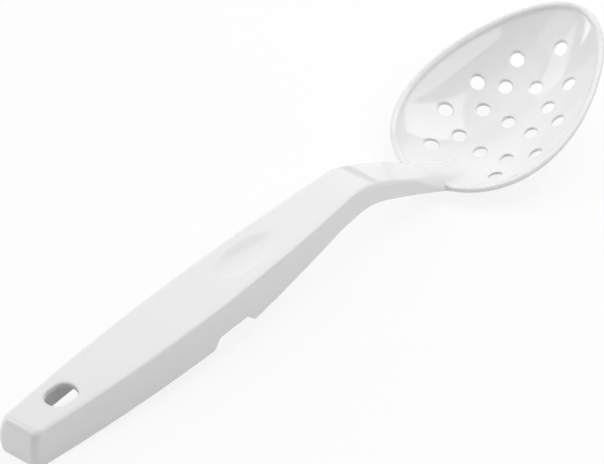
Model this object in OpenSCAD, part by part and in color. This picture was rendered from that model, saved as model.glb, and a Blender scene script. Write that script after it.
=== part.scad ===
// Perforated serving spoon, one moulding of white plastic, laid on a table.
// +X runs from the end of the handle to the tip of the bowl, +Y to the left, +Z up.
// The origin is under the middle of the spoon, at table height.

/* [Bowl] */
// Length of the bowl at the rim, heel to tip
bowl_length = 87.6; // [78:0.2:100]
// Width of the bowl at the rim
bowl_width = 64.8; // [56:0.2:74]
// Depth inside the bowl, below the rim
bowl_depth = 13.8; // [11:0.1:18]
// Thickness of the bowl's floor
bowl_wall = 1.6; // [1.4:0.1:3]
// Thickness of the rounded lip
lip_width = 2.1; // [1.6:0.1:3]
// How far the bowl's tip is raised from the line of the handle, in degrees
bowl_tilt = 15.5; // [8:0.1:20]

/* [Drain holes] */
// Diameter of each drain hole
drain_diameter = 4.7; // [3:0.1:6]

/* [Grip] */
// Length of the straight part of the handle
grip_length = 151.5; // [146:0.5:158]
// Width at the end of the handle, before its corners are rounded
grip_end_width = 15.2; // [14:0.2:18]
// Width where the handle is widest
grip_wide_width = 22.8; // [19:0.2:26]
// How far the top sags between its two ends
grip_sag = 0.7; // [0:0.1:2]
// Thickness of the top
plate_thickness = 2.2; // [2.1:0.1:3]
// Thickness of the skirts and of the end wall
skirt_wall = 1.7; // [1.4:0.1:2.4]
// Height of the handle at its end
end_height = 13.5; // [11:0.1:14]
// Height of the handle where the skirts are deepest
deep_height = 14.8; // [14:0.1:17]
// Radius along the top edges
edge_radius = 2; // [1:0.1:2]
// Radius of the upright corners at the end
corner_radius = 2.5; // [2.5:0.1:5]
// How far the end wall swells out below the edge of the top
end_swell = 2.1; // [0:0.1:2.5]

/* [Neck] */
// Width of the neck
neck_width = 16.2; // [13:0.2:18]
// Height of the neck where it leaves the grip
neck_height = 9.3; // [8:0.1:11]
// Distance from the grip to the heel of the bowl's rim, along the handle
neck_length = 44.6; // [40:0.1:50]
// Slope of the neck below the line of the handle, in degrees
neck_slope = 28.5; // [24:0.5:32]
// Height of the neck's top above the heel of the rim
heel_sink = 5.8; // [4.5:0.1:7]
// Radius of the bend between the grip and the neck
bend_radius = 33; // [24:1:40]
// Radius along the top edges of the neck
neck_edge_radius = 1.2; // [1:0.1:2]
// Radius along the top edges where the neck runs into the bowl
heel_edge_radius = 6; // [3:0.1:6.4]

/* [Hang hole] */
// Length of the oval hang hole, along the handle
hang_length = 11.2; // [9:0.1:12.4]
// Width of the hang hole
hang_width = 8.6; // [7:0.1:9]
// Distance from the end of the handle to the middle of the hang hole
hang_place = 19.4; // [17:0.2:24]
// Radius of the hang hole's rounded upper edge
hang_edge_radius = 1.2; // [0.6:0.1:1.4]

/* [Thumb dimple] */
// Length of the dimple along the handle
dimple_length = 29; // [20:1:34]
// Width of the dimple
dimple_width = 12; // [8:0.5:14]
// Depth of the dimple
dimple_depth = 0.9; // [0.5:0.1:1]
// Distance from the end of the handle to the middle of the dimple
dimple_place = 108; // [100:0.5:114]

/* [Pan notch] */
// Distance from the end of the handle to the notch
notch_place = 78.6; // [70:0.2:80]
// Length of the notch along the lower edge
notch_length = 19.2; // [12:0.2:20]
// Depth of the notch
notch_depth = 3.4; // [2:0.1:5]

/* [Hidden] */

$fn = 64;
plastic = [0.94, 0.94, 0.93];

// Where the grip is widest, where its skirts are deepest and where they have come down to
// the height of the neck, along the grip
widest_share = 0.511;
deepest_share = 0.64;
shoulder_share = 0.948;
// Outward lean of the skirts and the end wall, side over height
draft_share = 0.063;
// Where the end wall swells out most, below the top, on its height
swell_share = 0.55;
// Where the neck's top edges begin to grow rounder, along the neck
flare_share = 0.717;
// How much fuller the bowl is towards its heel
egg_share = -0.214;
// Where the bowl is deepest, from its middle towards the tip, on half its length
floor_share = -0.129;
// How sharply the floor turns up into the walls
floor_power = 2.46;
// Height of the neck where it meets the bowl, on its height at the grip
heel_height_share = 0.69;
// Length of the notch's rear ramp and of its front ramp, on the length of the notch
notch_ramp_shares = [0.11, 0.165];
// How far past the heel of the rim the neck's lower edge runs, on the thickness of the lip
heel_edge_share = 0.7;
// How far past the heel of the rim the tongue may run, on half the bowl's length
tongue_share = 0.68;

// Drain holes on the middle line, and the mirrored pairs beside it, on half the bowl's length and width
drain_line_shares = [-0.403, -0.049, 0.313, 0.666];
drain_pair_shares = [
    [-0.583, 0.432],
    [-0.365, 0.322],
    [-0.247, 0.609],
    [-0.063, 0.322],
    [0.097, 0.543],
    [0.197, 0.288],
    [0.427, 0.35],
];

// Steps along each curve
rim_steps = 72;
floor_steps = 11;
lip_steps = 6;
grip_steps = 26;
neck_steps = 18;
corner_steps = 6;
edge_steps = 4;
swell_steps = 6;

// How far a cutting shape runs past the surface that it opens
cut_margin = skirt_wall / 2;

widest_x = grip_length * widest_share;
deepest_x = grip_length * deepest_share;
shoulder_x = grip_length * shoulder_share;
bend_reach = bend_radius * sin(neck_slope);
bowl_half = bowl_length / 2;
lip_radius = lip_width / 2;

// The heel of the rim sits at the end of the neck, and the middle of the rim follows from it
rim_heel = grip_length + neck_length;
bowl_place = rim_heel + bowl_half * cos(bowl_tilt);
bowl_drop = heel_sink - top_line(rim_heel) - bowl_half * sin(bowl_tilt);

// The neck's channel stops where its edges grow round, its lower edge stops in the bowl's wall, and the
// neck stops past the place where its top goes below the rim
flare_x = grip_length + neck_length * flare_share;
channel_end = flare_x + 2 * skirt_wall;
heel_x = rim_heel + lip_width * heel_edge_share;
neck_end = rim_heel + heel_sink / (tan(neck_slope) + tan(bowl_tilt)) + 2 * lip_width;
tongue_end = rim_heel + bowl_half * tongue_share;
floor_middle = [bowl_half * floor_share, 0];
// The egg is a little wider than the ellipse that it is drawn from
egg_half = bowl_width / 2 / max([for (turn = [0 : 2 : 180]) egg_side(turn)]);

function mix(low, high, share) = low + (high - low) * share;

// Values evenly spaced from start to end
function along(start, end, steps) = [for (i = [0 : steps]) mix(start, end, i / steps)];

// Height of the handle's top line at a distance along it: a slight sag, the bend, then the straight slope
function top_line(x) =
    x < grip_length ? -4 * grip_sag * x / grip_length * (1 - x / grip_length)
    : x < grip_length + bend_reach ? sqrt(bend_radius ^ 2 - (x - grip_length) ^ 2) - bend_radius
    : -bend_radius * (1 - cos(neck_slope)) - (x - grip_length - bend_reach) * tan(neck_slope);

// Half the width of the handle, widest in the hand and slim at the neck
function half_width(x) =
    x < widest_x ? mix(grip_wide_width, grip_end_width, (1 - x / widest_x) ^ 2) / 2
    : x < grip_length ? mix(grip_wide_width, neck_width, ((x - widest_x) / (grip_length - widest_x)) ^ 2) / 2
    : neck_width / 2;

// Height of the side walls at a distance along the handle
function side_height(x) =
    x < deepest_x ? mix(end_height, deep_height, x / deepest_x)
    : x < shoulder_x ? mix(deep_height, neck_height, (x - deepest_x) / (shoulder_x - deepest_x))
    : x < grip_length ? neck_height
    : neck_height * mix(heel_height_share, 1, (1 - (x - grip_length) / (heel_x - grip_length)) ^ 2);

// Height of the lower edge, as far as the bowl's wall
function lower_edge(x) = top_line(min(x, heel_x)) - side_height(min(x, heel_x));

// Radius along the top edges: even on the grip, finer on the neck, and full where the neck meets the bowl
function edge_at(x) =
    x < grip_length ? edge_radius
    : x < flare_x ? mix(edge_radius, neck_edge_radius, (x - grip_length) / (flare_x - grip_length))
    : mix(neck_edge_radius, heel_edge_radius, min(1, (x - flare_x) / (rim_heel - flare_x)));

// Heights of the skirts' layers, and the swell of the end wall at a height
swell_depth = end_height * swell_share;
skirt_heights = along(-deep_height - cut_margin, -plate_thickness, swell_steps);
function end_out(z) = end_swell * ((1 + z / swell_depth) ^ 2 - 1);
function end_point(z) = [end_out(z) + z * draft_share, z];

// Layers of a form: an inset of the outline and a height above the top line, then how much of the edge's
// radius is added to the inset and taken off the height
rounded_edge = [for (turn = along(0, 90, edge_steps)) [0, 0, 1 - cos(turn), 1 - sin(turn)]];
function drafted(heights, inset) = [for (z = heights) [inset + z * draft_share, z, 0, 0]];

// A point on the side of the handle, in a layer
function side_point(x, layer) = let (radius = edge_at(x))
    [x, half_width(x) - layer[0] - radius * layer[2], layer[1] - radius * layer[3]];

// One side of the grip's outline in a layer: the rounded corner of the end, then the long side
function grip_side(layer, end) =
    let (inset = layer[0] + edge_radius * layer[2], z = layer[1] - edge_radius * layer[3])
    concat(
        [for (i = [0 : corner_steps - 1]) let (turn = 90 * i / corner_steps)
            [end_out(z) + corner_radius - (corner_radius - inset) * cos(turn),
             half_width(corner_radius) - corner_radius + (corner_radius - inset) * sin(turn), z]],
        [for (x = along(corner_radius, end, grip_steps)) side_point(x, layer)]);

// One side of the neck's outline in a layer
function neck_side(layer, start, end) = [for (x = along(start, end, neck_steps)) side_point(x, layer)];

// A closed form from one side's outlines, one for each layer, mirrored left and right
module layered(sides) {
    count = len(sides[0]);
    loop = 2 * count;
    top = (len(sides) - 1) * loop;
    points = [for (side = sides) each concat(
        [for (p = side) [p.x, p.y, top_line(p.x) + p.z]],
        [for (i = [count - 1 : -1 : 0]) let (p = side[i]) [p.x, -p.y, top_line(p.x) + p.z]])];
    walls = [for (j = [0 : len(sides) - 2]) for (i = [0 : loop - 1])
        let (a = j * loop + i, b = j * loop + (i + 1) % loop)
            each [[a, b, a + loop], [b, b + loop, a + loop]]];
    upper = [for (i = [0 : count - 2]) let (a = top + i, d = top + loop - 1 - i)
        each [[a, a + 1, d - 1], [a, d - 1, d]]];
    lower = [for (f = upper) [f[0] - top, f[2] - top, f[1] - top]];
    polyhedron(points, concat(walls, upper, lower));
}

module grip_form(layers, end) {
    layered([for (layer = layers) grip_side(layer, end)]);
}

module neck_form(layers, start, end) {
    layered([for (layer = layers) neck_side(layer, start, end)]);
}

// A shape drawn on the side view, cut right through from left to right
module side_cut(outline) {
    rotate([90, 0, 0])
        linear_extrude(2 * grip_wide_width, center = true)
            polygon(outline);
}

// Space below the handle's lower edge, which turns up inside the bowl's wall
module below_edge() {
    low = lower_edge(heel_x) - deep_height;
    behind = end_corner.x - cut_margin;
    ahead = neck_end + cut_margin;
    edge = [for (x = concat(along(0, deepest_x, neck_steps), along(shoulder_x, grip_length, 1),
            along(grip_length + bend_reach / neck_steps, heel_x, neck_steps)))
        [x, lower_edge(x)]];
    side_cut(concat([[behind, low], [behind, lower_edge(0)]], edge,
        [[ahead, lower_edge(heel_x) + ahead - heel_x], [ahead, low]]));
}

// Notch that hooks over the edge of a pan, with a ramp at each end
module pan_notch() {
    front = notch_place + notch_length;
    ramps = notch_length * notch_ramp_shares;
    low = lower_edge(notch_place);
    side_cut([
        [notch_place - ramps[0], low - notch_depth],
        [notch_place + ramps[0], low + notch_depth],
        [front - ramps[1], low + notch_depth],
        [front + ramps[1], low - notch_depth],
    ]);
}

// The side walls and the end wall, below the top plate
module skirts() {
    difference() {
        grip_form(drafted(skirt_heights, 0), grip_length);
        grip_form(drafted(along(-deep_height - 2 * cut_margin, cut_margin - plate_thickness, swell_steps),
            skirt_wall), grip_length + cut_margin);
        below_edge();
        pan_notch();
    }
}

// The part of the handle that lies beyond the end wall's rounded corners, on the left
module left_half() {
    translate([corner_radius, 0, -2 * deep_height])
        cube([grip_length, grip_wide_width, 2 * deep_height]);
}

// A stretch of the oval hang hole, grown by an amount at its bottom and at its top, and open above
module oval(low, high, low_grow, high_grow) {
    reach = (hang_length - hang_width) / 2;
    hull()
        for (side = [-1, 1])
            translate([side * reach, 0, low]) {
                cylinder(h = high - low, r1 = hang_width / 2 + low_grow, r2 = hang_width / 2 + high_grow);
                cylinder(h = high - low + plate_thickness, r1 = 0, r2 = hang_width / 2 + high_grow);
            }
}

// Hole that hangs the spoon on a hook, its upper edge rounded
module hang_hole() {
    translate([hang_place, 0, top_line(hang_place)]) {
        oval(-2 * plate_thickness, -hang_edge_radius, 0, 0);
        for (i = [edge_steps : -1 : 1])
            let (low = rounded_edge[i], high = rounded_edge[i - 1])
                oval(-hang_edge_radius * low[2], -hang_edge_radius * high[2],
                    hang_edge_radius * low[3], hang_edge_radius * high[3]);
    }
}

// Hollow that seats the thumb: a spindle lying along the handle, sunk into its top
module thumb_dimple() {
    along_radius = (dimple_length ^ 2 / 4 + dimple_depth ^ 2) / (2 * dimple_depth);
    across_radius = (dimple_width ^ 2 / 4 + dimple_depth ^ 2) / (2 * dimple_depth);
    translate([dimple_place, 0, top_line(dimple_place) + across_radius - dimple_depth])
        rotate([0, 90, 0])
            rotate_extrude()
                intersection() {
                    translate([across_radius - along_radius, 0])
                        circle(along_radius);
                    translate([0, -dimple_length])
                        square([across_radius, 2 * dimple_length]);
                }
}

// The bowl's rim, seen from above: an egg that is fuller at the heel
function egg_side(turn) = sin(turn) * (1 + egg_share * cos(turn));
function rim_point(turn) = [bowl_half * cos(turn), egg_half * egg_side(turn)];

// A ring inside the rim, drawn in by an inset and then shrunk towards the deepest point
function ring(inset, share, z) = [for (i = [0 : rim_steps - 1])
    let (out = rim_point(360 * i / rim_steps) - floor_middle)
    let (p = floor_middle + out * (1 - inset / norm(out)) * share) [p.x, p.y, z]];

// Rings of a dished surface, from just beside its deepest point up to the rim
function dish_rings(depth, inset) = [for (i = [1 : floor_steps]) let (share = i / floor_steps)
    ring(inset, share, -depth + (depth - lip_radius) * share ^ floor_power)];

// Rings over the rounded lip, from the inside to the outside
lip_rings = [for (i = [1 : lip_steps - 1]) let (turn = 180 * i / lip_steps)
    ring(lip_radius * (1 + cos(turn)), 1, lip_radius * (sin(turn) - 1))];

inside_rings = dish_rings(bowl_depth, lip_width);
outside_rings = reversed(dish_rings(bowl_depth + bowl_wall, 0));

function reversed(list) = [for (i = [len(list) - 1 : -1 : 0]) list[i]];
function on_middle(z) = [floor_middle.x, floor_middle.y, z];

// A closed form from a first point, rings and a last point
module ringed(first, rings, last) {
    end = len(rings) * rim_steps + 1;
    points = concat([first], [for (r = rings) each r], [last]);
    fans = [for (i = [0 : rim_steps - 1]) let (j = (i + 1) % rim_steps)
        each [[0, 1 + j, 1 + i], [end - rim_steps + i, end - rim_steps + j, end]]];
    bands = [for (k = [0 : len(rings) - 2]) for (i = [0 : rim_steps - 1])
        let (a = 1 + k * rim_steps + i, b = 1 + k * rim_steps + (i + 1) % rim_steps)
            each [[a, b, a + rim_steps], [b, b + rim_steps, a + rim_steps]]];
    polyhedron(points, concat(fans, bands));
}

// The bowl's wall, then the bowl filled to the lip, then the space inside it
module bowl_shell() {
    ringed(on_middle(-bowl_depth), concat(inside_rings, lip_rings, outside_rings),
        on_middle(-bowl_depth - bowl_wall));
}

module bowl_filled() {
    ringed(on_middle(-lip_radius), concat([inside_rings[floor_steps - 1]], lip_rings, outside_rings),
        on_middle(-bowl_depth - bowl_wall));
}

module bowl_space() {
    ringed(on_middle(-lip_radius), reversed(inside_rings), on_middle(-bowl_depth));
}

module drain_hole(shares) {
    translate([bowl_half * shares[0], bowl_width / 2 * shares[1], -2 * bowl_depth])
        cylinder(h = 2 * bowl_depth, d = drain_diameter);
}

// The bowl tilted at the end of the neck
module at_bowl() {
    translate([bowl_place, 0, -bowl_drop])
        rotate([0, -bowl_tilt, 0])
            children();
}

// Lying on a table: the handle's end and the bowl's floor both touch it
function at_bowl_point(p) = [
    bowl_place + p.x * cos(bowl_tilt) - p.z * sin(bowl_tilt),
    -bowl_drop + p.x * sin(bowl_tilt) + p.z * cos(bowl_tilt),
];
end_corner = end_point(lower_edge(0));
outside_points = [for (r = outside_rings) each [for (p = r) at_bowl_point(p)]];
lie_angle = -min([for (p = outside_points) atan2(p.y - end_corner.y, p.x - end_corner.x)]);
function lie_x(p) = p.x * cos(lie_angle) - p.y * sin(lie_angle);
function lie_z(p) = p.x * sin(lie_angle) + p.y * cos(lie_angle);
rear = min([for (z = concat([lower_edge(0)], skirt_heights)) if (z >= lower_edge(0)) lie_x(end_point(z))]);
front = max([for (r = concat(lip_rings, outside_rings)) for (p = r) lie_x(at_bowl_point(p))]);

module lying() {
    translate([-(rear + front) / 2, 0, -lie_z(end_corner)])
        rotate([0, -lie_angle, 0])
            children();
}

module bowl() {
    color(plastic)
        lying()
            at_bowl()
                difference() {
                    bowl_shell();
                    for (share = drain_line_shares)
                        drain_hole([share, 0]);
                    for (pair = drain_pair_shares, side = [-1, 1])
                        drain_hole([pair[0], side * pair[1]]);
                }
}

module tongue() {
    color(plastic)
        lying()
            intersection() {
                neck_form(concat(drafted([-deep_height], 0), rounded_edge), channel_end, tongue_end);
                at_bowl()
                    bowl_space();
            }
}

module neck() {
    color(plastic)
        lying()
            difference() {
                neck_form(concat(drafted([-neck_height - cut_margin], 0), rounded_edge), grip_length, neck_end);
                neck_form(drafted([-neck_height - 2 * cut_margin, -plate_thickness], skirt_wall),
                    grip_length - cut_margin, channel_end);
                below_edge();
                at_bowl()
                    bowl_filled();
            }
}

module grip_plate() {
    color(plastic)
        lying()
            difference() {
                grip_form(concat(drafted([-plate_thickness], 0), rounded_edge), grip_length);
                hang_hole();
                thumb_dimple();
            }
}

module left_skirt() {
    color(plastic)
        lying()
            intersection() {
                skirts();
                left_half();
            }
}

module right_skirt() {
    color(plastic)
        lying()
            intersection() {
                skirts();
                mirror([0, 1, 0])
                    left_half();
            }
}

module end_wall() {
    color(plastic)
        lying()
            difference() {
                skirts();
                left_half();
                mirror([0, 1, 0])
                    left_half();
            }
}

bowl();
tongue();
neck();
grip_plate();
left_skirt();
right_skirt();
end_wall();
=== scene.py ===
"""A perforated serving spoon of white moulded plastic, lying on a pale floor."""
import math

import bmesh
import bpy
import numpy as np
from mathutils import Matrix, Vector


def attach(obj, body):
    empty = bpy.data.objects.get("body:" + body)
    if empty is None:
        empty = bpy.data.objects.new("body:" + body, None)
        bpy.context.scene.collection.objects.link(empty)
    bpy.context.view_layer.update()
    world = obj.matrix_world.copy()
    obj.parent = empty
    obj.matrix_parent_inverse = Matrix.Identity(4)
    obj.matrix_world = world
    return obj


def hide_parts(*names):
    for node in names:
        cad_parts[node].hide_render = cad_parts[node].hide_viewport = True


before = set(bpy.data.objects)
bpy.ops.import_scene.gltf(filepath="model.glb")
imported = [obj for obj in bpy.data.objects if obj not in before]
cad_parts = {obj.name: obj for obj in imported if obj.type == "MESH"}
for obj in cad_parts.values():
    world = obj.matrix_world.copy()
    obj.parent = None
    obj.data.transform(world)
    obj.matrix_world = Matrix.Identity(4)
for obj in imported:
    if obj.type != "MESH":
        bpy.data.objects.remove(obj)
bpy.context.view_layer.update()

MM = 0.001

# The spoon's sizes in millimetres. They are those of the part's source, apart from the hang hole, the
# dimple and the top edges, which differ by up to 0.6 mm. Distances along the handle start at its end,
# and heights at the line between the two ends of the grip's top.
BOWL_LENGTH, BOWL_WIDTH, BOWL_DEPTH, BOWL_WALL = 87.6, 64.8, 13.8, 1.6
LIP_WIDTH, BOWL_TILT = 2.1, math.radians(15.5)
DRAIN_RADIUS = 4.7 / 2
GRIP_LENGTH, GRIP_END_WIDTH, GRIP_WIDE_WIDTH, GRIP_SAG = 151.5, 15.2, 22.8, 0.7
PLATE, SKIRT = 2.2, 1.7
END_HEIGHT, DEEP_HEIGHT, END_SWELL = 13.5, 14.8, 2.1
EDGE_RADIUS, NECK_EDGE, HEEL_EDGE, CORNER_RADIUS = 1.6, 1.1, 6.0, 2.5
NECK_WIDTH, NECK_HEIGHT, NECK_LENGTH = 16.2, 9.3, 44.6
NECK_SLOPE, HEEL_SINK = math.radians(28.5), 5.8
HANG_LENGTH, HANG_WIDTH, HANG_PLACE, HANG_EDGE = 11.5, 8.9, 19.4, 1.05
DIMPLE_LENGTH, DIMPLE_WIDTH, DIMPLE_DEPTH, DIMPLE_PLACE = 29.0, 12.6, 0.85, 108.0
NOTCH_PLACE, NOTCH_LENGTH, NOTCH_DEPTH = 78.6, 19.2, 3.4
NOTCH_RAMPS = (0.11 * NOTCH_LENGTH, 0.165 * NOTCH_LENGTH)
DRAFT, SWELL_DEPTH = 0.063, 0.55 * END_HEIGHT
EGG, FLOOR_POWER, HEEL_HEIGHT = -0.214, 2.46, 0.69
DRAIN_LINE = (-0.403, -0.049, 0.313, 0.666)
DRAIN_PAIRS = ((-0.583, 0.432), (-0.365, 0.322), (-0.247, 0.609), (-0.063, 0.322), (0.097, 0.543),
               (0.197, 0.288), (0.427, 0.35))

# The small roundings that a moulding has, in millimetres
LOWER_EDGE, NOTCH_EDGE, DRAIN_EDGE, HANG_FOOT = 0.45, 0.8, 0.5, 0.3
INNER_CORNER, TONGUE_FILLET, HEEL_FILLET, LIP_FILLET = 0.8, 1.8, 0.4, 1.1
# The bend from the grip to the neck turns faster in its middle than at its ends
BEND_START, BEND_SPAN = 148.6, 22.0
# The sides lean more above a soft fold than below it, most of all at the end, and thin downwards
FOLD_DEPTH, FOLD_WIDTH, FOLD_LEAN, SKIRT_TAPER = 5.0, 1.6, 0.19, 0.075
FOLD_FADES, FOLD_LEFT = (90, 165), (1, 0.25)
# The dimple's border runs softly into the top
DIMPLE_SOFT = 0.18
# The whole surface is drawn in by this much, which keeps it inside the solids' box
SHRINK = 0.07

WIDEST, DEEPEST, SHOULDER = 0.511 * GRIP_LENGTH, 0.64 * GRIP_LENGTH, 0.948 * GRIP_LENGTH
BOWL_HALF, LIP_RADIUS = BOWL_LENGTH / 2, LIP_WIDTH / 2
FLOOR_MIDDLE = -0.129 * BOWL_HALF
RIM_HEEL = GRIP_LENGTH + NECK_LENGTH
FLARE = GRIP_LENGTH + 0.717 * NECK_LENGTH
CHANNEL_END = FLARE + 2 * SKIRT
HEEL_X = RIM_HEEL + 0.7 * LIP_WIDTH


# The spoon's form

def mix(low, high, share):
    return low + (high - low) * share


def top_table():
    """The height and the slope of the top's middle line, all along the handle and the neck."""
    x = np.arange(-6, 300, 0.05)
    sag = 4 * GRIP_SAG / GRIP_LENGTH * (2 * np.minimum(x / GRIP_LENGTH, 1) - 1)
    turn = np.clip((x - BEND_START) / BEND_SPAN, 0, 1)
    slope = mix(sag, -math.tan(NECK_SLOPE), turn ** 2 * (3 - 2 * turn))
    height = np.concatenate([[0], np.cumsum((slope[1:] + slope[:-1]) / 2 * np.diff(x))])
    return x, height - np.interp(0, x, height), slope


TOP_X, TOP_Z, TOP_SLOPE = top_table()


def top_line(x):
    """The height of the top's middle line."""
    return np.interp(x, TOP_X, TOP_Z)


def top_slope(x):
    """The slope of the top's middle line, which is negative where it falls towards the bowl."""
    return np.interp(x, TOP_X, TOP_SLOPE)


def half_width(x):
    """Half the width of the handle's top."""
    rear = mix(GRIP_WIDE_WIDTH, GRIP_END_WIDTH, np.maximum(1 - x / WIDEST, 0) ** 2) / 2
    ahead = np.clip((x - WIDEST) / (GRIP_LENGTH - WIDEST), 0, 1)
    return np.where(x < WIDEST, rear, mix(GRIP_WIDE_WIDTH, NECK_WIDTH, ahead ** 2) / 2)


def side_height(x):
    """How far the sides reach below the top."""
    neck = 1 - np.clip((x - GRIP_LENGTH) / (HEEL_X - GRIP_LENGTH), 0, 1)
    return np.where(
        x < DEEPEST, mix(END_HEIGHT, DEEP_HEIGHT, x / DEEPEST),
        np.where(x < GRIP_LENGTH,
                 mix(DEEP_HEIGHT, NECK_HEIGHT, np.clip((x - DEEPEST) / (SHOULDER - DEEPEST), 0, 1)),
                 NECK_HEIGHT * mix(HEEL_HEIGHT, 1, neck ** 2)))


def lower_edge(x):
    """The height of the sides' lower edge, which rises steeply past the heel of the bowl."""
    inside = np.minimum(x, HEEL_X)
    return top_line(inside) - side_height(inside) + np.maximum(x - HEEL_X, 0)


def rim_table():
    """The rim's distance from the deepest point, and its rate of change, for each direction."""
    turn = np.linspace(0, 2 * math.pi, 1440, endpoint=False)
    side = np.sin(turn) * (1 + EGG * np.cos(turn))
    x, y = BOWL_HALF * np.cos(turn) - FLOOR_MIDDLE, BOWL_WIDTH / 2 / side.max() * side
    direction, reach = np.unwrap(np.arctan2(y, x)), np.hypot(x, y)
    even = np.linspace(-math.pi, math.pi, 2881)
    table = np.interp(even, direction, reach, period=2 * math.pi)
    return even, table, np.gradient(table, even)


RIM_TURNS, RIM_REACH, RIM_CHANGE = rim_table()
BOWL_PLACE = RIM_HEEL + BOWL_HALF * math.cos(BOWL_TILT)
BOWL_DROP = HEEL_SINK - float(top_line(np.array(RIM_HEEL))) - BOWL_HALF * math.sin(BOWL_TILT)


def both(a, b, radius):
    """The space that lies in both of two forms, its edge rounded. Distances are negative inside."""
    corner = np.hypot(np.maximum(a + radius, 0), np.maximum(b + radius, 0))
    return np.minimum(np.maximum(a, b), -radius) + corner


def either(a, b, radius):
    """The space that lies in one of two forms or in both, the corner between them filled."""
    return -both(-a, -b, radius)


def handle_forms(x, y, z):
    """The outside of the handle without its lower edge, then the whole handle, hollow from below."""
    depth = top_line(x) - z
    fold = (depth + FOLD_DEPTH - np.hypot(depth - FOLD_DEPTH, FOLD_WIDTH)) / 2
    fold -= FOLD_DEPTH * depth / side_height(x)
    belly = FOLD_LEAN * np.interp(x, FOLD_FADES, FOLD_LEFT) * fold
    side = np.abs(y) - half_width(x) - depth * DRAFT - belly
    below = np.clip(depth, 0, END_HEIGHT)
    swell = END_SWELL * (1 - (1 - below / SWELL_DEPTH) ** 2) + depth * DRAFT
    lean = 2 * END_SWELL * (1 - below / SWELL_DEPTH) / SWELL_DEPTH + DRAFT
    plan = both(side, (-x - swell) / np.hypot(1, lean), CORNER_RADIUS)
    steep = 1 / np.sqrt(1 + top_slope(x) ** 2)
    edge = np.interp(x, (GRIP_LENGTH, FLARE, RIM_HEEL), (EDGE_RADIUS, NECK_EDGE, HEEL_EDGE))
    oval = ((x - DIMPLE_PLACE) / DIMPLE_LENGTH * 2) ** 2 + (y / DIMPLE_WIDTH * 2) ** 2
    hollow = DIMPLE_DEPTH * (1 - oval)
    hollow = (hollow + np.hypot(hollow, DIMPLE_SOFT)) / 2
    outside = both(plan, (hollow - depth) * steep, edge)

    low = float(lower_edge(np.array(NOTCH_PLACE)))
    notch = z - low - NOTCH_DEPTH
    for place, ramp, way in ((NOTCH_PLACE, NOTCH_RAMPS[0], -1),
                             (NOTCH_PLACE + NOTCH_LENGTH, NOTCH_RAMPS[1], 1)):
        slant = math.hypot(ramp, NOTCH_DEPTH)
        wall = (way * (x - place) * NOTCH_DEPTH + (z - low) * ramp) / slant
        notch = both(notch, wall, NOTCH_EDGE)
    under = both((lower_edge(x) - z) * steep, -notch, NOTCH_EDGE)

    skirt = SKIRT - SKIRT_TAPER * np.clip(depth - PLATE, 0, END_HEIGHT)
    channel = both(plan + skirt, (PLATE - depth) * steep, np.maximum(edge - SKIRT, INNER_CORNER))
    channel = both(channel, x - CHANNEL_END, INNER_CORNER)
    handle = both(outside, under, LOWER_EDGE)
    handle = both(handle, -channel, LOWER_EDGE)

    reach = (HANG_LENGTH - HANG_WIDTH) / 2
    hang = np.hypot(np.maximum(np.abs(x - HANG_PLACE) - reach, 0), y) - HANG_WIDTH / 2
    return outside, both(handle, -hang, np.where(depth < PLATE / 2, HANG_EDGE, HANG_FOOT))


def dish(reach, change, out, z, depth, inset):
    """Distance below a dished surface of the bowl, which is negative above it."""
    edge = reach - inset
    share = out / edge
    rise = (depth - LIP_RADIUS) * share ** FLOOR_POWER
    outward = FLOOR_POWER * (depth - LIP_RADIUS) * share ** (FLOOR_POWER - 1) / edge
    slope = outward * np.hypot(1, share * change / np.maximum(edge * share, 0.001))
    return (rise - depth - z) / np.sqrt(1 + slope ** 2)


def bowl_forms(x, y, z):
    """The bowl's perforated shell, the space above the middle of its wall, and the height inside it."""
    across, up = x - BOWL_PLACE, z + BOWL_DROP
    x = across * math.cos(BOWL_TILT) + up * math.sin(BOWL_TILT)
    z = up * math.cos(BOWL_TILT) - across * math.sin(BOWL_TILT)
    out = np.hypot(x - FLOOR_MIDDLE, y)
    turn = np.arctan2(y, x - FLOOR_MIDDLE)
    reach = np.interp(turn, RIM_TURNS, RIM_REACH)
    change = np.interp(turn, RIM_TURNS, RIM_CHANGE)
    outer = dish(reach, change, out, z, BOWL_DEPTH + BOWL_WALL, 0)
    inner = -dish(reach, change, out, z, BOWL_DEPTH, LIP_WIDTH)
    wall = np.maximum(np.maximum(outer, inner), z + LIP_RADIUS)
    beside = (out - reach + LIP_RADIUS) / np.hypot(1, change / reach)
    lip = np.hypot(beside, z + LIP_RADIUS) - LIP_RADIUS
    shell = either(wall, lip, np.where(beside < 0, LIP_FILLET, 0.05))
    drains = [(share, 0) for share in DRAIN_LINE]
    drains += [(share, side * beside) for share, beside in DRAIN_PAIRS for side in (-1, 1)]
    for along, aside in drains:
        drain = np.hypot(x - along * BOWL_HALF, y - aside * BOWL_WIDTH / 2) - DRAIN_RADIUS
        shell = both(shell, -drain, DRAIN_EDGE)
    return shell, outer + BOWL_WALL / 2, inner


def spoon(points):
    """Distance from the spoon's surface, negative inside, of points on the line of the handle."""
    x, y, z = points[..., 0], points[..., 1], points[..., 2]
    outside, handle = handle_forms(x, y, z)
    shell, space, height = bowl_forms(x, y, z)
    stem = np.minimum(handle, np.maximum(outside, space))
    fillet = np.interp(height, (-0.6, 0.1), (HEEL_FILLET, TONGUE_FILLET))
    return either(stem, shell, fillet) + SHRINK


# The mesh

def slope_of(points, step):
    """The distance's gradient at points."""
    parts = []
    for axis in range(3):
        shift = np.zeros(3)
        shift[axis] = step
        parts.append((spoon(points + shift) - spoon(points - shift)) / (2 * step))
    return np.stack(parts, -1)


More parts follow.
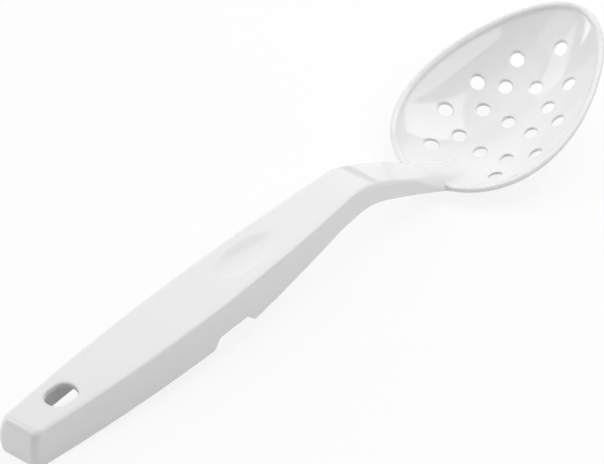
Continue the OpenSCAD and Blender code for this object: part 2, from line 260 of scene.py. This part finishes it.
def surface_net(grid, axes):
    """One point for each cell that the surface crosses, and the faces between them."""
    inside = grid < 0
    cells = tuple(n - 1 for n in grid.shape)
    total = np.zeros((math.prod(cells), 3))
    count = np.zeros(math.prod(cells))
    quads = []
    for axis in range(3):
        first = [slice(None)] * 3
        second = [slice(None)] * 3
        first[axis], second[axis] = slice(None, -1), slice(1, None)
        a, b = grid[tuple(first)], grid[tuple(second)]
        cut = np.argwhere((a < 0) != (b < 0))
        at = tuple(cut.T)
        share = a[at] / (a[at] - b[at])
        place = np.stack([axes[k][cut[:, k]] for k in range(3)], -1)
        place[:, axis] += share * (axes[axis][cut[:, axis] + 1] - axes[axis][cut[:, axis]])
        one, two = (axis + 1) % 3, (axis + 2) % 3
        ring = []
        for back_one, back_two in ((1, 1), (0, 1), (0, 0), (1, 0)):
            cell = cut.copy()
            cell[:, one] -= back_one
            cell[:, two] -= back_two
            index = np.ravel_multi_index(tuple(cell.T), cells)
            np.add.at(total, index, place)
            np.add.at(count, index, 1)
            ring.append(index)
        ring = np.stack(ring, -1)
        flip = ~inside[tuple(first)][at]
        ring[flip] = ring[flip][:, ::-1]
        quads.append(ring)
    used = np.flatnonzero(count)
    number = np.full(count.shape, -1)
    number[used] = np.arange(len(used))
    layer = np.unravel_index(used, cells)[0]
    return total[used] / count[used, None], number[np.concatenate(quads)], layer


def stretches(*stops):
    """Places along an axis: each stop gives where it is and the step that leads up to it."""
    places = [stops[0]]
    for end, step in stops[1:]:
        count = max(1, round((end - places[-1]) / step))
        places.extend(np.linspace(places[-1], end, count + 1)[1:])
    return np.array(places)


HANDLE_CUT, NECK_CUT = GRIP_LENGTH, RIM_HEEL - 1.9
STEP = 0.45


def spoon_mesh():
    x = stretches(-3.5, (30, STEP), (75, 0.9), (104, 0.5), (123, 0.6), (145, 0.9),
                  (HANDLE_CUT - STEP / 2, STEP), (HANDLE_CUT + STEP / 2, STEP), (168, STEP), (186, 0.7),
                  (NECK_CUT - STEP / 2, STEP), (NECK_CUT + STEP / 2, STEP), (282, STEP))
    y = np.arange(0, 33.6, STEP)
    z = np.arange(-33, 1.2, STEP)
    half = np.empty((len(x), len(y), len(z)))
    for i in range(0, len(x), 16):
        place = np.meshgrid(x[i:i + 16], y, z, indexing="ij")
        half[i:i + 16] = spoon(np.stack(place, -1))
    grid = np.concatenate([half[:, :0:-1], half], 1)
    points, quads, layer = surface_net(grid, (x, np.concatenate([-y[:0:-1], y]), z))
    cuts = [int(np.searchsorted(x, cut)) - 1 for cut in (HANDLE_CUT, NECK_CUT)]
    held = np.isin(layer, cuts)
    for cut, at in zip(cuts, (HANDLE_CUT, NECK_CUT)):
        points[layer == cut, 0] = at

    # Each point moves to the middle of its neighbours, then back onto the surface
    edges = np.concatenate([quads[:, [k, (k + 1) % 4]] for k in range(4)])
    for turn in range(5):
        if turn < 4:
            total = np.zeros_like(points)
            count = np.zeros(len(points))
            np.add.at(total, edges[:, 0], points[edges[:, 1]])
            np.add.at(count, edges[:, 0], 1)
            moved = points + 0.5 * (total / count[:, None] - points)
            points = np.where(held[:, None], points, moved)
        for again in range(2):
            slope = slope_of(points, 0.02)
            slope[held, 0] = 0
            far = spoon(points) / np.maximum((slope ** 2).sum(-1), 0.25)
            points = points - np.clip(far, -0.3, 0.3)[:, None] * slope
    normals = slope_of(points, 0.04)
    normals /= np.linalg.norm(normals, axis=1)[:, None]
    middle = layer[quads].mean(1)
    return points, normals, quads, np.digitize(middle, [c + 0.01 for c in cuts])


# Lying on the floor, on the end of the handle and the floor of the bowl
LIE, LIE_MIDDLE, LIE_HEIGHT = math.radians(5.0052), 139.042, 13.5833


def lying(points):
    """Points of the lying spoon, from points on the line of the handle."""
    x, y, z = points.T
    c, s = math.cos(LIE), math.sin(LIE)
    return np.stack([x * c - z * s - LIE_MIDDLE, y, x * s + z * c + LIE_HEIGHT], -1)


def turned(vectors):
    """Directions on the lying spoon, from directions on the line of the handle."""
    x, y, z = vectors.T
    c, s = math.cos(LIE), math.sin(LIE)
    return np.stack([x * c - z * s, y, x * s + z * c], -1)


def piece_of(name, points, normals, quads, material):
    """One piece of the spoon, closed where it meets the next."""
    used = np.unique(quads)
    number = np.full(len(points), -1)
    number[used] = np.arange(len(used))
    places = lying(points[used]) * MM
    looks = turned(normals[used])
    form = bmesh.new()
    corners = [form.verts.new(p) for p in places]
    for quad in number[quads]:
        form.faces.new([corners[i] for i in quad])
    open_edges = [e for e in form.edges if e.is_boundary]
    caps = set()
    if open_edges:
        made = bmesh.ops.triangle_fill(form, use_beauty=True, edges=open_edges)
        caps = {f for f in made["geom"] if isinstance(f, bmesh.types.BMFace)}
        bmesh.ops.recalc_face_normals(form, faces=form.faces)
    form.faces.index_update()
    cap_index = {f.index for f in caps}
    mesh = bpy.data.meshes.new(name)
    form.to_mesh(mesh)
    form.free()
    mesh.shade_smooth()
    split = np.empty((len(mesh.loops), 3))
    for face in mesh.polygons:
        loops = range(face.loop_start, face.loop_start + face.loop_total)
        for loop in loops:
            split[loop] = face.normal if face.index in cap_index else looks[mesh.loops[loop].vertex_index]
    mesh.normals_split_custom_set(split.tolist())
    mesh.materials.append(material)
    piece = bpy.data.objects.new(name, mesh)
    bpy.context.collection.objects.link(piece)
    return piece


# Materials

def white_plastic():
    """Moulded white plastic: an even gloss with a faint ripple and finer scuffs."""
    material = bpy.data.materials.new("white_plastic")
    material.use_nodes = True
    nodes, links = material.node_tree.nodes, material.node_tree.links
    shader = nodes["Principled BSDF"]
    shader.inputs["IOR"].default_value = 1.5
    place = nodes.new("ShaderNodeTexCoord")

    cloud = nodes.new("ShaderNodeTexNoise")
    cloud.inputs["Scale"].default_value = 40
    cloud.inputs["Detail"].default_value = 3
    links.new(place.outputs["Object"], cloud.inputs["Vector"])
    tint = nodes.new("ShaderNodeValToRGB")
    tint.color_ramp.elements[0].color = (0.84, 0.84, 0.84, 1)
    tint.color_ramp.elements[1].color = (0.87, 0.87, 0.87, 1)
    links.new(cloud.outputs["Fac"], tint.inputs["Fac"])
    links.new(tint.outputs["Color"], shader.inputs["Base Color"])

    scuff = nodes.new("ShaderNodeTexNoise")
    scuff.inputs["Scale"].default_value = 900
    scuff.inputs["Detail"].default_value = 4
    links.new(place.outputs["Object"], scuff.inputs["Vector"])
    rough = nodes.new("ShaderNodeMapRange")
    rough.inputs["To Min"].default_value = 0.05
    rough.inputs["To Max"].default_value = 0.09
    links.new(scuff.outputs["Fac"], rough.inputs["Value"])
    links.new(rough.outputs["Result"], shader.inputs["Roughness"])

    ripple = nodes.new("ShaderNodeTexNoise")
    ripple.inputs["Scale"].default_value = 120
    ripple.inputs["Detail"].default_value = 2
    links.new(place.outputs["Object"], ripple.inputs["Vector"])
    bump = nodes.new("ShaderNodeBump")
    bump.inputs["Strength"].default_value = 0.06
    bump.inputs["Distance"].default_value = 0.0004
    links.new(ripple.outputs["Fac"], bump.inputs["Height"])
    links.new(bump.outputs["Normal"], shader.inputs["Normal"])
    return material


def pale_floor():
    """A white floor that still takes a faint shadow."""
    material = bpy.data.materials.new("pale_floor")
    material.use_nodes = True
    nodes, links = material.node_tree.nodes, material.node_tree.links
    shader = nodes["Principled BSDF"]
    shader.inputs["Base Color"].default_value = (0.9, 0.9, 0.9, 1)
    shader.inputs["Roughness"].default_value = 0.9
    shader.inputs["Specular IOR Level"].default_value = 0
    glow = nodes.new("ShaderNodeEmission")
    glow.inputs["Strength"].default_value = 1
    path = nodes.new("ShaderNodeLightPath")
    part = path.outputs["Is Camera Ray"]
    for ray in ("Is Glossy Ray", "Is Transmission Ray"):
        seen = nodes.new("ShaderNodeMath")
        seen.operation = "MAXIMUM"
        links.new(part, seen.inputs[0])
        links.new(path.outputs[ray], seen.inputs[1])
        part = seen.outputs[0]
    share = nodes.new("ShaderNodeMath")
    share.operation = "MULTIPLY"
    share.inputs[1].default_value = 0.85
    links.new(part, share.inputs[0])
    blend = nodes.new("ShaderNodeMixShader")
    links.new(share.outputs[0], blend.inputs["Fac"])
    links.new(shader.outputs["BSDF"], blend.inputs[1])
    links.new(glow.outputs["Emission"], blend.inputs[2])
    links.new(blend.outputs["Shader"], nodes["Material Output"].inputs["Surface"])
    return material


# The pieces

points, normals, quads, parts = spoon_mesh()
plastic = white_plastic()
for index, (name, stands_for) in enumerate((
        ("handle", ("grip_plate", "left_skirt", "right_skirt", "end_wall")),
        ("stem", ("neck",)),
        ("perforated_bowl", ("bowl", "tongue")))):
    piece = piece_of(name, points, normals, quads[parts == index], plastic)
    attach(piece, "root")
    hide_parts(*stands_for)

# Floor, light and camera

bpy.ops.mesh.primitive_plane_add(size=6)
floor = bpy.context.active_object
floor.name = "floor"
floor.data.materials.append(pale_floor())

world = bpy.data.worlds.new("studio")
bpy.context.scene.world = world
world.use_nodes = True
world.node_tree.nodes["Background"].inputs["Color"].default_value = (1, 1, 1, 1)
world.node_tree.nodes["Background"].inputs["Strength"].default_value = 0.19


def panel(name, place, aim, size, radiance):
    """A soft box that faces a point, as bright as a white surface times its radiance."""
    light = bpy.data.lights.new(name, "AREA")
    light.shape = "RECTANGLE"
    light.size, light.size_y = size
    light.energy = radiance * math.pi * size[0] * size[1]
    lamp = bpy.data.objects.new(name, light)
    lamp.location = place
    lamp.rotation_euler = (Vector(aim) - Vector(place)).to_track_quat("-Z", "Y").to_euler()
    bpy.context.collection.objects.link(lamp)
    return lamp


OVERHEAD_TURN = math.radians(-30.7)
for name, place, size, radiance in (("key", (0.47, -0.19, 0.72), (0.7, 0.54), 2.75),
                                    ("top", (-0.07, 0.18, 1.1), (0.7, 0.9), 0.8)):
    overhead = panel(name, place, (0, 0, 0), size, radiance)
    overhead.rotation_euler = (0, 0, OVERHEAD_TURN)
panel("front", (0.1, -1.1, 1.05), (0.1, 0, 0), (1.6, 0.4), 2.1)
panel("back", (0.81, 0.96, 0.82), (0, 0, 0), (2.4, 1.2), 0.75)
panel("rim", (-0.73, 1.26, 0.363), (0, 0, 0), (0.8, 0.5), 4.0)
panel("rear", (-0.448, 0.961, 1.06), (0, 0, 0), (0.9, 0.6), 1.95)
panel("left", (-0.966, 0.259, 1.115), (0.1, 0, 0), (0.85, 0.65), 0.85)

camera = bpy.data.objects.new("camera", bpy.data.cameras.new("camera"))
bpy.context.collection.objects.link(camera)
camera.data.sensor_width = 36
camera.data.lens = 387.34
camera.data.shift_x, camera.data.shift_y = -0.0124, -0.0104
camera.data.clip_end = 20
camera.matrix_world = Matrix.Translation((-1.321663, -1.13702, 1.240311)) @ Matrix((
    (0.657323, 0.427504, -0.620618),
    (-0.753546, 0.383493, -0.533949),
    (0.009738, 0.818641, 0.574223))).to_4x4()
bpy.context.scene.camera = camera
bpy.context.scene.view_settings.view_transform = "Standard"
